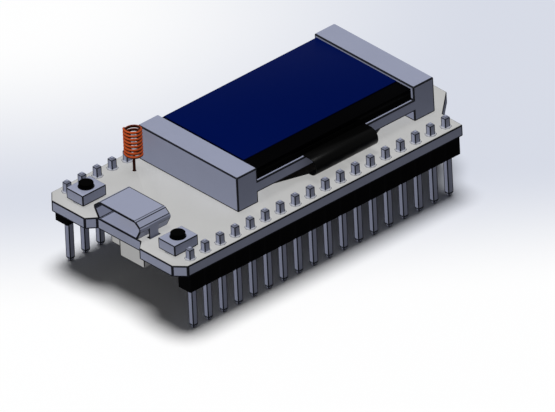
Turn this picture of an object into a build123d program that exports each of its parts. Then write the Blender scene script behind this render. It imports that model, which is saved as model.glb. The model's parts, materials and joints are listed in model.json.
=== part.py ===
from build123d import *
import math
import os

# A radio development board: a slim circuit board on two rows of header pins, with a small
# display on a moulded holder, a coiled spring antenna, a data socket, two push buttons and
# a battery socket underneath. Millimetres. X runs from the data socket to the tongue, Z is
# up, and the origin lies under the middle of the board, level with the pin tips.

# Header pins and strips
pitch = 2.54
pins_per_row = 18
row_spacing = 22.86
pin_width = 0.8
pin_tail = 6.0
pin_stub = 1.55
pin_tip_length = 0.5
pin_tip_width = 0.36
pin_top_chamfer = 0.2
pin_hole = 1.24
strip_width = 2.3
strip_height = 2.54
strip_notch = 0.1

# Flat sides of the small holes and posts, and of the buttons' round pieces
small_round_sides = 8
round_sides = 16

# Circuit board
board_thickness = 1.6
first_pin_setback = 2.9
last_pin_margin = 1.68
row_margin = 1.27
corner_length = 1.35
corner_width = 1.5
recess_depth = 1.25
recess_slant = 1.05
recess_clearance = -0.28
tongue_length = 3.88
tongue_base = 17.95
tongue_tip = 10.95

# Display panel
panel_length = 26.25
panel_width = 17.53
panel_fit = 0.1
panel_near_inset = 0.37
panel_far_inset = 0.5
front_glass_thickness = 0.72
rear_glass_thickness = 0.6
film_thickness = 0.12
film_front_border = 0.32
film_back_border = 0.1
film_far_border = 0.12
ledge_width = 2.53
rear_glass_gap = 0.3
pad_thickness = 0.3
pad_width = 0.5
driver_chip_length = 13.0
driver_chip_width = 0.75
driver_chip_gap = 0.1
driver_chip_height = 0.3

# Display holder
block_length = 3.4
block_rise = 0.21
rail_height = 3.08
rail_gap = 1.5
rail_width = 2.3
holder_offset = 1.37
holder_back_margin = 0.21
holder_wall = 1.1
holder_edge = 0.12
peg_width = 1.2
peg_clearance = 0.05
peg_inset = 2.4

# Display ribbon
ribbon_width = 10.4
ribbon_thickness = 0.12
ribbon_bend_radius = 1.2
ribbon_reach = 0.95
ribbon_rise_run = 0.45
ribbon_bond = 0.5
ribbon_tail_width = 19.0
ribbon_tail_length = 3.2
ribbon_ramp = 3.0
ribbon_flare_start = 0.4
ribbon_lift = 0.01
ribbon_contacts = 30
ribbon_contact_margin = 0.33
ribbon_contact_width = 0.36
ribbon_contact_length = 2.0

# Spring antenna
coil_diameter = 2.5
coil_wire = 0.38
coil_pitch = 0.513
coil_turns = 7.6
coil_lift = 2.2
coil_start_angle = 353.7
coil_turn_in = 0.35
coil_elbow = 0.3
coil_gap = 1.05
coil_side = 8.97
coil_hole_clearance = 0.06
coil_tail = 0.6
coil_sides = 5
coil_overlap = 0.1

# Data socket
socket_setback = 1.02
socket_depth = 5.1
socket_height = 2.72
socket_top_width = 6.74
socket_full_width = 8.66
socket_base_width = 7.0
socket_shoulder = 1.92
socket_hip = 1.5
socket_sheet = 0.25
socket_bend = 0.3
socket_leg_setback = 1.58
socket_leg_width = 1.4
socket_leg_clearance = 0.12
socket_back_depth = 1.3
socket_tongue_recess = 1.15
socket_tongue_width = 3.6
socket_tongue_height = 0.42
socket_tongue_drop = 0.62
socket_contacts = 5
socket_contact_pitch = 0.65
socket_contact_width = 0.3
socket_contact_thickness = 0.14
socket_contact_foot = 0.8

# Push buttons
button_length = 3.95
button_width = 3.05
button_height = 1.7
button_setback = 3.53
button_side = 8.535
button_sheet = 0.2
button_standoff = 0.18
button_floor = 0.3
button_well = 2.56
button_cap_diameter = 1.93
button_cap_rise = 0.6
button_cap_clearance = 0.06
button_flange = 0.26
button_flange_height = 0.4
button_nib_height = 0.1
button_nib_diameter = 0.96
button_travel = 0.25
button_dome_diameter = 2.3
button_dome_sheet = 0.07
button_dome_gap = 0.05
button_dome_shoulder = 0.66
button_strip = 0.14
button_strip_width = 0.8
button_stud = 0.4

# Battery socket
battery_setback = 2.5
battery_side = -0.8
battery_width = 4.45
battery_depth = 4.2
battery_height = 3.4
battery_wall = 0.5
battery_pin_pitch = 1.25
battery_pin_width = 0.32
battery_tab_width = 1.6
battery_tab_height = 2.1
battery_tab_sheet = 0.3
battery_tab_foot = 1.6
battery_tab_setback = 0.05
battery_edge = 0.2

# Small parts, each as length, width and height where they differ
chip_terminal = 0.3
chip_terminal_height = 0.1
chip_terminal_pitch = 1.0
chip_terminal_length = 0.6
chip_terminal_reach = 0.05
chip_standoff = 0.08
chip_draft = 9.5
chip_corner = 0.7
controller_side = 6.0
radio_side = 6.0
bridge_side = 5.0
quad_chip_height = 0.85
memory_body = (5.2, 5.2, 1.7)
charger_body = (2.9, 1.6, 1.1)
regulator_body = (6.5, 3.5, 1.6)
crystal_body = (3.2, 2.5, 0.7)
crystal_base_height = 0.42
crystal_rim = 0.22
crystal_corner = 0.3
capacitor_body = (1.0, 0.5, 0.5)
resistor_body = (1.0, 0.5, 0.35)
coil_body = (1.6, 0.8, 0.8)
lamp_body = (1.6, 0.8, 0.6)
cap_step = 0.02
lead_thickness = 0.15
lead_width = 0.4
memory_leads_per_side = 4
memory_lead_pitch = 1.27
charger_leads_per_side = 3
charger_lead_pitch = 0.95
regulator_lead_count = 3
regulator_lead_pitch = 2.3
regulator_lead_width = 0.7
regulator_tab_width = 3.0
coax_base = (3.0, 2.6, 0.35)
coax_ring_diameter = 2.0
coax_ring_wall = 0.2
coax_height = 1.25
coax_pin_diameter = 0.5
coax_pin_drop = 0.25
coax_back_margin = 2.76
coax_side = -4.0
part_gap = 1.4
small_part_step = 1.3
first_column_capacitors = 5
third_column_capacitors = 4
second_column_resistors = 4
charger_resistors = 2
radio_inductors = 3
status_lights = 2
controller_side_offset = 3.6
memory_side_offset = 4.6
clock_side_offset = 5.0
radio_side_offset = 2.0
bridge_side_offset = -2.0
charger_side_offset = 6.5
regulator_side_offset = -7.0
capacitor_side_offset = 4.1
light_side_offset = 7.3
light_setback = 6.0

# Levels and places that follow from the sizes above
board_bottom = pin_tail + strip_height
board_top = board_bottom + board_thickness
row_length = (pins_per_row - 1) * pitch
board_length = first_pin_setback + row_length + last_pin_margin
board_width = row_spacing + 2 * row_margin
front = -(board_length + tongue_length) / 2
back = front + board_length
first_pin = front + first_pin_setback
panel_height = pad_thickness + rear_glass_thickness + front_glass_thickness + film_thickness
holder_height = rail_height + panel_height + block_rise
holder_window = panel_length + 2 * panel_fit
holder_length = holder_window + 2 * block_length
holder_width = panel_near_inset + panel_width + panel_far_inset
holder_back = back - holder_back_margin
holder_front = holder_back - holder_length
holder_near = holder_offset - holder_width / 2
holder_far = holder_offset + holder_width / 2
window_front = holder_front + block_length
window_back = window_front + holder_window
panel_middle = (window_front + window_back) / 2
panel_near = holder_near + panel_near_inset
panel_far = panel_near + panel_width
panel_bottom = board_top + rail_height
front_glass_bottom = panel_bottom + pad_thickness + rear_glass_thickness
front_glass_top = front_glass_bottom + front_glass_thickness
coil_x = holder_front - coil_gap - coil_diameter / 2
pin_places = [first_pin + i * pitch for i in range(pins_per_row)]
row_places = {"left": row_spacing / 2, "right": -row_spacing / 2}
button_places = {"left": button_side, "right": -button_side}
button_x = front + button_setback
socket_front = front + socket_setback


def block(x, y, z):
    """A box from three pairs of limits."""
    size = (x[1] - x[0], y[1] - y[0], z[1] - z[0])
    middle = ((x[0] + x[1]) / 2, (y[0] + y[1]) / 2, (z[0] + z[1]) / 2)
    return Pos(*middle) * Box(*size)


def prism_along_x(points, x_from, x_to):
    """A closed outline of Y and Z points, drawn out along X."""
    outline = make_face(Polyline(*[(x_from, y, z) for y, z in points], close=True))
    return extrude(outline, amount=x_to - x_from, dir=(1, 0, 0))


def prism_along_z(points, z_from, z_to):
    """A closed outline of X and Y points, drawn out along Z."""
    outline = make_face(Polyline(*[(x, y, z_from) for x, y in points], close=True))
    return extrude(outline, amount=z_to - z_from, dir=(0, 0, 1))


def post(x, y, diameter, z_from, z_to):
    return Pos(x, y, (z_from + z_to) / 2) * Cylinder(diameter / 2, z_to - z_from)


def flat_post(x, y, width, sides, z_from, z_to):
    """A many-sided post, measured across its flats."""
    outline = Pos(x, y, z_from) * RegularPolygon(width / 2, sides, major_radius=False)
    return extrude(outline, amount=z_to - z_from)


def under_board(shape, x, y):
    """Turns a piece built upwards from Z = 0 over and hangs it from the board."""
    return Pos(x, y, board_bottom) * Rot(180, 0, 0) * shape


def on_board(shape, x, y):
    return Pos(x, y, board_top) * shape


# Board

def board_outline():
    half = board_width / 2
    recess = socket_full_width / 2 + recess_clearance
    near_side = [
        (front + recess_depth, -recess),
        (front, -recess - recess_slant),
        (front, -half + corner_width),
        (front + corner_length, -half),
        (back, -half),
        (back, -tongue_base / 2),
        (back + tongue_length, -tongue_tip / 2),
    ]
    return near_side + [(x, -y) for x, y in reversed(near_side)]


def peg_places():
    columns = [holder_front + block_length / 2, holder_back - block_length / 2]
    rows = [holder_near + peg_inset, holder_far - peg_inset]
    return [(x, y) for x in columns for y in rows]


def leg_box(side, grow=0.0):
    """The leg of the data socket's shell on one side, or the slot for it."""
    outer = side * socket_full_width / 2
    inner = outer - side * socket_sheet
    y_limits = sorted((outer + side * grow, inner - side * grow))
    start = socket_front + socket_leg_setback
    x_limits = (start - grow, start + socket_leg_width + grow)
    return block(x_limits, y_limits, (board_bottom - grow, board_top + socket_shoulder))


def circuit_board():
    board = prism_along_z(board_outline(), board_bottom, board_top)
    for y in row_places.values():
        for x in pin_places:
            board -= flat_post(x, y, pin_hole, small_round_sides, board_bottom, board_top)
    for x, y in peg_places():
        hole = peg_width + 2 * peg_clearance
        board -= flat_post(x, y, hole, small_round_sides, board_bottom, board_top)
    hole = coil_wire + 2 * coil_hole_clearance
    board -= flat_post(coil_x, coil_side, hole, small_round_sides, board_bottom, board_top)
    for side in (1, -1):
        board -= leg_box(side, socket_leg_clearance)
    return board


# Pin headers

def header_pin(x, y):
    """A square pin with a long taper below and a small chamfer on top."""
    top = board_top + pin_stub
    half = pin_width / 2
    tip = pin_tip_width / 2
    crown = half - pin_top_chamfer
    outline = [
        (-tip, 0), (tip, 0), (half, pin_tip_length), (half, top - pin_top_chamfer),
        (crown, top), (-crown, top), (-half, top - pin_top_chamfer), (-half, pin_tip_length),
    ]
    one_way = prism_along_x(outline, -half, half)
    return Pos(x, y, 0) * (one_way & (Rot(0, 0, 90) * one_way))


def header_pins(y):
    return Compound([header_pin(x, y) for x in pin_places])


def header_strip(y):
    """Moulded strip with a fine groove between its cells, so it can be snapped to length."""
    half = strip_width / 2
    start = first_pin - pitch / 2
    near_edge = [(start, half - strip_notch)]
    for i in range(pins_per_row):
        cell = start + i * pitch
        near_edge.append((cell + strip_notch, half))
        near_edge.append((cell + pitch - strip_notch, half))
        near_edge.append((cell + pitch, half - strip_notch))
    outline = near_edge + [(x, -side) for x, side in reversed(near_edge)]
    strip = prism_along_z(outline, pin_tail, pin_tail + strip_height)
    strip = Pos(0, y, 0) * strip
    for x in pin_places:
        hole = (x - pin_width / 2, x + pin_width / 2)
        strip -= block(hole, (y - pin_width / 2, y + pin_width / 2), (pin_tail, board_bottom))
    return strip


# Display

def display_holder():
    """Moulded holder: two hollow end blocks joined by two raised rails, on four pegs."""
    top = board_top + holder_height
    sides = (holder_near, holder_far)
    holder = block((holder_front, window_front), sides, (board_top, top))
    holder += block((window_back, holder_back), sides, (board_top, top))
    for y in ((holder_near, holder_near + rail_width), (holder_far - rail_width, holder_far)):
        holder += block((window_front, window_back), y, (board_top + rail_gap, panel_bottom))
    holder = chamfer(holder.edges().group_by(Axis.Z)[-1], holder_edge)
    for x, y in peg_places():
        holder += flat_post(x, y, peg_width, small_round_sides, board_bottom, board_top)
    inner = (holder_near + peg_inset + peg_width, holder_far - peg_inset - peg_width)
    for x in (holder_front, window_back):
        pocket = (x + holder_wall, x + block_length - holder_wall)
        holder -= block(pocket, inner, (board_top, top - holder_wall))
    return holder


def panel_plate(y, z, front_gap=0.0, back_gap=0.0):
    x = (panel_middle - panel_length / 2 + front_gap, panel_middle + panel_length / 2 - back_gap)
    return block(x, y, z)


def display_front_glass():
    return panel_plate((panel_near, panel_far), (front_glass_bottom, front_glass_top))


def display_film():
    y = (panel_near + ledge_width, panel_far - film_far_border)
    z = (front_glass_top, front_glass_top + film_thickness)
    return panel_plate(y, z, film_front_border, film_back_border)


def display_rear_glass():
    y = (panel_near + ledge_width + rear_glass_gap, panel_far)
    return panel_plate(y, (panel_bottom + pad_thickness, front_glass_bottom))


def display_far_pad():
    y = (holder_far - rail_width, panel_far)
    return panel_plate(y, (panel_bottom, panel_bottom + pad_thickness))


def display_near_pad():
    """Spacer between the rail and the ledge of the front glass, notched for the ribbon."""
    pad = panel_plate((panel_near, panel_near + pad_width), (panel_bottom, front_glass_bottom))
    half = ribbon_width / 2 + panel_fit
    notch_top = panel_bottom + ribbon_thickness + 2 * ribbon_lift
    slot = (panel_middle - half, panel_middle + half)
    return pad - block(slot, (panel_near, panel_near + pad_width), (panel_bottom, notch_top))


def ribbon_bond_end():
    """Where the ribbon's end lies under the ledge of the front glass."""
    return panel_near + pad_width + ribbon_thickness + ribbon_rise_run + ribbon_bond


def display_driver_chip():
    start = ribbon_bond_end() + driver_chip_gap
    half = driver_chip_length / 2
    y = (start, start + driver_chip_width)
    z = (front_glass_bottom - driver_chip_height, front_glass_bottom)
    return block((panel_middle - half, panel_middle + half), y, z)


def film_strip(path, width):
    """A thin film of the ribbon's thickness; the path gives its middle as Y and Z points."""
    face = Plane.YZ.offset(panel_middle - width / 2) * trace(path, ribbon_thickness)
    return extrude(face, amount=width)


def display_ribbon():
    """Film from the ledge of the glass, over the rail, round its bend and down to the board."""
    half = ribbon_thickness / 2
    rail_level = panel_bottom + ribbon_lift + half
    bond_level = front_glass_bottom - half
    bend_y = holder_near - ribbon_reach
    radius = ribbon_bend_radius - half
    low_level = rail_level - 2 * radius
    board_level = board_top + ribbon_lift + half
    rise_to = ribbon_bond_end() - ribbon_bond
    rise = FilletPolyline(
        (ribbon_bond_end(), bond_level),
        (rise_to, bond_level),
        (rise_to - ribbon_rise_run, rail_level),
        (bend_y, rail_level),
        radius=ribbon_thickness,
    )
    bend = ThreePointArc(
        (bend_y, rail_level), (bend_y - radius, rail_level - radius), (bend_y, low_level)
    )
    upper = film_strip(rise, ribbon_width) + film_strip(bend, ribbon_width)
    ramp_end = bend_y + ribbon_ramp
    ramp = FilletPolyline(
        (bend_y, low_level),
        (bend_y + ribbon_flare_start, low_level),
        (ramp_end, board_level),
        (ramp_end + ribbon_tail_length, board_level),
        radius=ribbon_flare_start / 2,
    )
    lower = film_strip(ramp, ribbon_tail_width)
    narrow = ribbon_width / 2
    wide = ribbon_tail_width / 2
    flare = [
        (narrow, bend_y - half), (narrow, bend_y + ribbon_flare_start), (wide, ramp_end),
        (wide, ramp_end + ribbon_tail_length),
    ]
    outline = [(panel_middle + x, y) for x, y in flare]
    outline += [(panel_middle - x, y) for x, y in reversed(flare)]
    lower &= prism_along_z(outline, board_top, rail_level)
    return upper + lower


def display_ribbon_contacts():
    """Tinned strips on top of the ribbon's tail, where it is soldered to the board."""
    end = holder_near - ribbon_reach + ribbon_ramp + ribbon_tail_length
    level = board_top + ribbon_lift + ribbon_thickness
    half = ribbon_contact_width / 2
    reach = ribbon_tail_width - 2 * ribbon_contact_margin - ribbon_contact_width
    strips = []
    for offset_x in spread(ribbon_contacts, reach / (ribbon_contacts - 1)):
        x = panel_middle + offset_x
        y = (end - ribbon_contact_length, end)
        strips.append(block((x - half, x + half), y, (level, level + ribbon_thickness)))
    return Compound(strips)


# Spring antenna

def spring_antenna():
    """A left-hand coil whose lower end turns in to the axis and down through the board."""
    wire = coil_wire / 2
    radius = coil_diameter / 2 - wire
    base = board_top + coil_lift + wire
    coil_line = Helix(coil_pitch, coil_turns * coil_pitch, radius, lefthand=True)
    section = Plane(coil_line @ 0, z_dir=coil_line % 0) * RegularPolygon(wire, coil_sides)
    coil = sweep(section, path=coil_line, is_frenet=True)
    turn = math.acos(-coil_turn_in / (radius - coil_turn_in))
    centre = radius - coil_turn_in
    arc_point = [
        (centre + coil_turn_in * math.cos(a), coil_turn_in * math.sin(a), 0)
        for a in (0, turn / 2, turn)
    ]
    inward = math.hypot(arc_point[2][0], arc_point[2][1])
    along = (arc_point[2][0] / inward, arc_point[2][1] / inward)
    elbow_start = (along[0] * coil_elbow, along[1] * coil_elbow, 0)
    slope = coil_elbow * (1 - math.cos(math.pi / 4))
    elbow_middle = (along[0] * slope, along[1] * slope, -slope)
    foot = board_bottom - coil_tail - base
    lead_in = (radius, -coil_overlap, 0)
    run = Curve() + [
        Line(lead_in, arc_point[0]),
        ThreePointArc(*arc_point),
        Line(arc_point[2], elbow_start),
        ThreePointArc(elbow_start, elbow_middle, (0, 0, -coil_elbow)),
        Line((0, 0, -coil_elbow), (0, 0, foot)),
    ]
    leg_shape = Rot(0, 0, 180) * RegularPolygon(wire, coil_sides)
    leg_section = Plane(lead_in, z_dir=(0, 1, 0)) * leg_shape
    antenna = coil + sweep(leg_section, path=run.wire())
    return Pos(coil_x, coil_side, base) * Rot(0, 0, coil_start_angle) * antenna


# Data socket

def socket_section(inset):
    """The shell's six-sided section with bent corners, made smaller all round by inset."""
    half = [(socket_base_width / 2, 0), (socket_full_width / 2, socket_hip)]
    half += [(socket_full_width / 2, socket_shoulder), (socket_top_width / 2, socket_height)]
    points = half + [(-y, z) for y, z in reversed(half)]
    shape = make_face(Polyline(*[(socket_front, y, board_top + z) for y, z in points], close=True))
    shape = fillet(shape.vertices(), socket_bend)
    if inset:
        shape = offset(shape, -inset)
    return shape


def socket_shell():
    section = socket_section(0) - socket_section(socket_sheet)
    shell = extrude(section, amount=socket_depth, dir=(1, 0, 0))
    for side in (1, -1):
        leg = leg_box(side)
        shell += leg - extrude(socket_section(0), amount=socket_depth, dir=(1, 0, 0))
    return shell


def contact_places():
    first = -(socket_contacts - 1) * socket_contact_pitch / 2
    return [first + i * socket_contact_pitch for i in range(socket_contacts)]


def socket_contacts_set():
    """Five sprung strips under the tongue, turned down behind the shell to the board."""
    back_x = socket_front + socket_depth
    top = board_top + socket_height - socket_sheet - socket_tongue_drop - socket_tongue_height
    thick = socket_contact_thickness
    outline = [
        (socket_front + socket_tongue_recess + thick, top),
        (back_x + thick, top),
        (back_x + thick, board_top + thick),
        (back_x + socket_contact_foot, board_top + thick),
        (back_x + socket_contact_foot, board_top),
        (back_x, board_top),
        (back_x, top - thick),
        (socket_front + socket_tongue_recess + thick, top - thick),
    ]
    contacts = []
    for y in contact_places():
        side = y - socket_contact_width / 2
        face = make_face(Polyline(*[(x, side, z) for x, z in outline], close=True))
        contacts.append(extrude(face, amount=socket_contact_width, dir=(0, 1, 0)))
    return Compound(contacts)


def socket_insulator():
    """Moulded block that closes the shell's back and carries the tongue."""
    start = socket_front + socket_depth - socket_back_depth
    plug = extrude(socket_section(socket_sheet), amount=socket_back_depth, dir=(1, 0, 0))
    plug = Pos(start - socket_front, 0, 0) * plug
    top = board_top + socket_height - socket_sheet - socket_tongue_drop
    half = socket_tongue_width / 2
    x = (socket_front + socket_tongue_recess, start)
    tongue = block(x, (-half, half), (top - socket_tongue_height, top))
    return plug + tongue - socket_contacts_set()


# Push buttons

def button_well_roof():
    return board_top + button_height - button_sheet


def button_cover(y):
    """Folded sheet cover: a flat top with a round hole and a skirt on all four sides."""
    length = (button_x - button_length / 2, button_x + button_length / 2)
    width = (y - button_width / 2, y + button_width / 2)
    top = board_top + button_height
    cover = block(length, width, (board_top + button_standoff, top))
    inner_length = (length[0] + button_sheet, length[1] - button_sheet)
    inner_width = (width[0] + button_sheet, width[1] - button_sheet)
    cover -= block(inner_length, inner_width, (board_top, button_well_roof()))
    hole = button_cap_diameter + 2 * button_cap_clearance
    return cover - post(button_x, y, hole, button_well_roof(), top)


def button_terminals(y):
    """Two strips inlaid in the floor, one with a centre stud and one with a rim stud."""
    half = button_strip_width / 2
    end = button_length / 2
    rim = button_dome_diameter / 2 - button_stud / 2
    floor = (board_top, board_top + button_strip)
    strips = []
    for side, inner, stud in ((-1, button_stud / 2, 0), (1, rim - button_stud, rim)):
        x = sorted((button_x + side * end, button_x + side * inner * (-1 if stud == 0 else 1)))
        strip = block(x, (y - half, y + half), floor)
        stud_x = (button_x + stud - button_stud / 2, button_x + stud + button_stud / 2)
        stud_y = (y - button_stud / 2, y + button_stud / 2)
        strip += block(stud_x, stud_y, (board_top, board_top + button_floor))
        strips.append(strip)
    return Compound(strips)


def button_base(y):
    """Moulded base that fills the cover, with a round well for the dome and the cap."""
    inset = button_sheet
    x = (button_x - button_length / 2 + inset, button_x + button_length / 2 - inset)
    width = (y - button_width / 2 + inset, y + button_width / 2 - inset)
    base = block(x, width, (board_top, button_well_roof()))
    floor = board_top + button_floor
    base -= flat_post(button_x, y, button_well, round_sides, floor, button_well_roof())
    return base - button_terminals(y)


def button_dome(y):
    """Snap dome: a shallow cap of sheet in two slopes that stands on its rim."""
    bottom = board_top + button_floor
    dome = dome_solid(y, bottom, button_dome_diameter, button_dome_rise())
    inner = button_dome_diameter - 4 * button_dome_sheet
    return dome - dome_solid(y, bottom, inner, button_dome_rise() - button_dome_sheet)


def dome_solid(y, bottom, width, rise):
    """A low many-sided solid with a steep rim and a flatter crown."""
    rim = width / 2
    shoulder = rim * button_dome_shoulder
    level = rise * button_dome_shoulder
    solid = slope_ring(y, bottom, rim, shoulder, level)
    return solid + slope_ring(y, bottom + level, shoulder, shoulder / 2, rise - level)


def slope_ring(y, bottom, from_half, to_half, rise):
    base = Pos(button_x, y, bottom) * RegularPolygon(from_half, round_sides, major_radius=False)
    lean = math.degrees(math.atan((from_half - to_half) / rise))
    return extrude(base, amount=rise, taper=lean)


def button_dome_rise():
    """The dome's height, which leaves a small gap under the cap at the end of its travel."""
    space = button_height - button_sheet - button_floor - button_cap_clearance
    return space - button_flange_height - button_travel - button_dome_gap - button_nib_height


def button_cap(y):
    """Round cap with a flange under the cover that keeps it in, and a nib over the dome."""
    flange_top = button_well_roof() - button_cap_clearance
    flange_bottom = flange_top - button_flange_height
    flange = button_cap_diameter + button_flange
    top = board_top + button_height + button_cap_rise
    cap = post(button_x, y, button_cap_diameter, flange_bottom, top)
    cap = chamfer(cap.edges().group_by(Axis.Z)[-1], button_cap_clearance)
    cap += flat_post(button_x, y, flange, round_sides, flange_bottom, flange_top)
    nib_bottom = flange_bottom - button_nib_height
    return cap + flat_post(button_x, y, button_nib_diameter, round_sides, nib_bottom, flange_bottom)


# Battery socket

def battery_x():
    return front + battery_setback


def battery_housing():
    """Moulded housing with its mouth away from the board's edge and two pin holes."""
    x = battery_x()
    low = board_bottom - battery_height
    half = battery_width / 2
    width = (battery_side - half, battery_side + half)
    housing = block((x, x + battery_depth), width, (low, board_bottom))
    housing = fillet(housing.edges().filter_by(Axis.X).group_by(Axis.Z)[0], battery_edge)
    inner = (width[0] + battery_wall, width[1] - battery_wall)
    mouth = (low + battery_wall, board_bottom - battery_wall)
    housing -= block((x + 2 * battery_wall, x + battery_depth), inner, mouth)
    key = (battery_side - battery_wall, battery_side + battery_wall)
    housing -= block((x + battery_depth / 2, x + battery_depth), key, (low, low + battery_wall))
    return housing - battery_pins()


def battery_pins():
    """Two square pins along the housing, turned up inside its back wall to the board."""
    x = battery_x()
    half = battery_pin_width / 2
    level = board_bottom - battery_height / 2
    pins = []
    for side in (-1, 1):
        y = battery_side + side * battery_pin_pitch / 2
        width = (y - half, y + half)
        end = x + battery_depth - 2 * battery_wall
        start = x + battery_wall
        pin = block((start, end), width, (level - half, level + half))
        pin += block((start, start + battery_pin_width), width, (level - half, board_bottom))
        pins.append(pin)
    return Compound(pins)


def battery_tabs():
    """Bent fixing tabs at the housing's two sides."""
    x = battery_x() + battery_tab_setback
    half = battery_width / 2
    tabs = []
    for side in (-1, 1):
        inner = battery_side + side * half
        width = sorted((inner, inner + side * battery_tab_width))
        upright = (board_bottom - battery_tab_height, board_bottom)
        tab = block((x, x + battery_tab_sheet), width, upright)
        foot = (board_bottom - battery_tab_sheet, board_bottom)
        tab += block((x, x + battery_tab_foot), width, foot)
        tabs.append(tab)
    return Compound(tabs)


# Chips and small parts, each built upwards from Z = 0 about its own middle

def quad_chip(side):
    """Flat square chip on its terminals, with its first corner cut off."""
    half = side / 2
    cut = half - chip_corner
    outline = [(-half, -half), (half, -half), (half, half), (-cut, half), (-half, cut)]
    return prism_along_z(outline, chip_terminal_height, quad_chip_height)


def quad_terminals(side):
    """Terminals under the chip's lower edges, the same number on each side."""
    count = int(side / chip_terminal_pitch)
    end = side / 2 + chip_terminal_reach
    strips = []
    for turn in range(4):
        for y in spread(count, side / (count + 1)):
            half = chip_terminal / 2
            x = (end - chip_terminal_length, end)
            strip = block(x, (y - half, y + half), (0, chip_terminal_height))
            strips.append(Rot(0, 0, 90 * turn) * strip)
    return Compound(strips)


def wing_lead(x, width, start, reach, height, side):
    """One bent lead: out of the body, down, and out again as a foot."""
    thick = lead_thickness
    knee = start + reach / 2
    outline = [
        (start, height), (knee, height), (knee, thick), (start + reach, thick),
        (start + reach, 0), (knee - thick, 0), (knee - thick, height - thick),
        (start, height - thick),
    ]
    points = [(x - width / 2, side * y, z) for y, z in outline]
    face = make_face(Polyline(*points, close=True))
    return extrude(face, amount=width, dir=(1, 0, 0))


def wing_leads(body, near_places, far_places, width, far_width=None):
    start = body[1] / 2
    height = body[2] / 2
    leads = [wing_lead(x, width, start, body[2] / 2, height, -1) for x in near_places]
    leads += [wing_lead(x, far_width or width, start, body[2] / 2, height, 1) for x in far_places]
    return Compound(leads)


def moulded_body(body):
    """A chip body whose upper half leans in on all sides."""
    waist = body[2] / 2
    lean = waist * math.tan(math.radians(chip_draft))
    lower = block((-body[0] / 2, body[0] / 2), (-body[1] / 2, body[1] / 2), (chip_standoff, waist))
    roof = Pos(0, 0, waist) * Rectangle(body[0], body[1])
    lid = Pos(0, 0, body[2]) * Rectangle(body[0] - 2 * lean, body[1] - 2 * lean)
    return lower + loft([roof, lid])


def spread(count, step):
    return [(i - (count - 1) / 2) * step for i in range(count)]


def capped_body(body):
    """A small part with a metal cap at each end, as its middle and its two caps."""
    cap = body[0] / 4
    half = body[1] / 2
    x = (-body[0] / 2 + cap, body[0] / 2 - cap)
    middle = block(x, (-half, half), (cap_step, body[2] - cap_step))
    ends = []
    for side in (-1, 1):
        x = sorted((side * body[0] / 2, side * (body[0] / 2 - cap)))
        ends.append(block(x, (-half, half), (0, body[2])))
    return middle, Compound(ends)


def crystal():
    """A can with a flat rim round a raised lid."""
    length, width, height = crystal_body
    base = block((-length / 2, length / 2), (-width / 2, width / 2), (0, crystal_base_height))
    lid_x = length / 2 - crystal_rim
    lid_y = width / 2 - crystal_rim
    lid = block((-lid_x, lid_x), (-lid_y, lid_y), (crystal_base_height, height))
    return base + chamfer(lid.edges().filter_by(Axis.Z), crystal_corner)


def coax_parts():
    """Aerial lead socket: a square base, a ring that the plug snaps on, and a centre pin."""
    length, width, height = coax_base
    base = block((-length / 2, length / 2), (-width / 2, width / 2), (0, height))
    pin_top = coax_height - coax_pin_drop
    pin = flat_post(0, 0, coax_pin_diameter, small_round_sides, height, pin_top)
    outer = post(0, 0, coax_ring_diameter, height, coax_height)
    ring = outer - post(0, 0, coax_ring_diameter - 2 * coax_ring_wall, height, coax_height)
    return {"base": base, "ring": ring, "pin": pin}


# Where the small parts lie: one after the other along the board, a part gap apart

def stack(x, count, middle, step=small_part_step):
    return [(x, middle + y) for y in spread(count, step)]


clock_place = (window_front + part_gap + crystal_body[0] / 2, clock_side_offset)
controller_x = clock_place[0] + crystal_body[0] / 2 + part_gap + controller_side / 2
controller_place = (controller_x, controller_side_offset)
memory_x = controller_x + controller_side / 2 + part_gap + memory_body[0] / 2
memory_place = (memory_x, memory_side_offset)

regulator_x = front + battery_setback + battery_depth + part_gap + regulator_body[0] / 2
regulator_place = (regulator_x, regulator_side_offset)
charger_place = (regulator_x, charger_side_offset)
charger_end = regulator_x + charger_body[0] / 2
first_column = regulator_x + regulator_body[0] / 2 + part_gap
bridge_place = (first_column + part_gap + bridge_side / 2, bridge_side_offset)
second_column = bridge_place[0] + bridge_side / 2 + part_gap
radio_clock_place = (second_column + part_gap + crystal_body[0] / 2, radio_side_offset)
radio_x = radio_clock_place[0] + crystal_body[0] / 2 + part_gap + radio_side / 2
radio_place = (radio_x, radio_side_offset)
third_column = radio_x + radio_side / 2 + part_gap
coax_place = (back - coax_back_margin, coax_side)

capacitor_places = stack(first_column, first_column_capacitors, capacitor_side_offset)
capacitor_places += stack(third_column, third_column_capacitors, radio_side_offset)
resistor_places = stack(second_column, second_column_resistors, bridge_side_offset)
resistor_places += stack(charger_end + part_gap, charger_resistors, charger_side_offset)
inductor_x = third_column + part_gap + coil_body[0] / 2
inductor_places = stack(inductor_x, radio_inductors, radio_side_offset, 2 * small_part_step)
lamp_places = stack(front + light_setback, status_lights, light_side_offset)


def small_group(body, places, take):
    """The same small part at each place under the board; take picks its middle or its caps."""
    piece = capped_body(body)[take]
    return Compound([under_board(piece, *place) for place in places])


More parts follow.
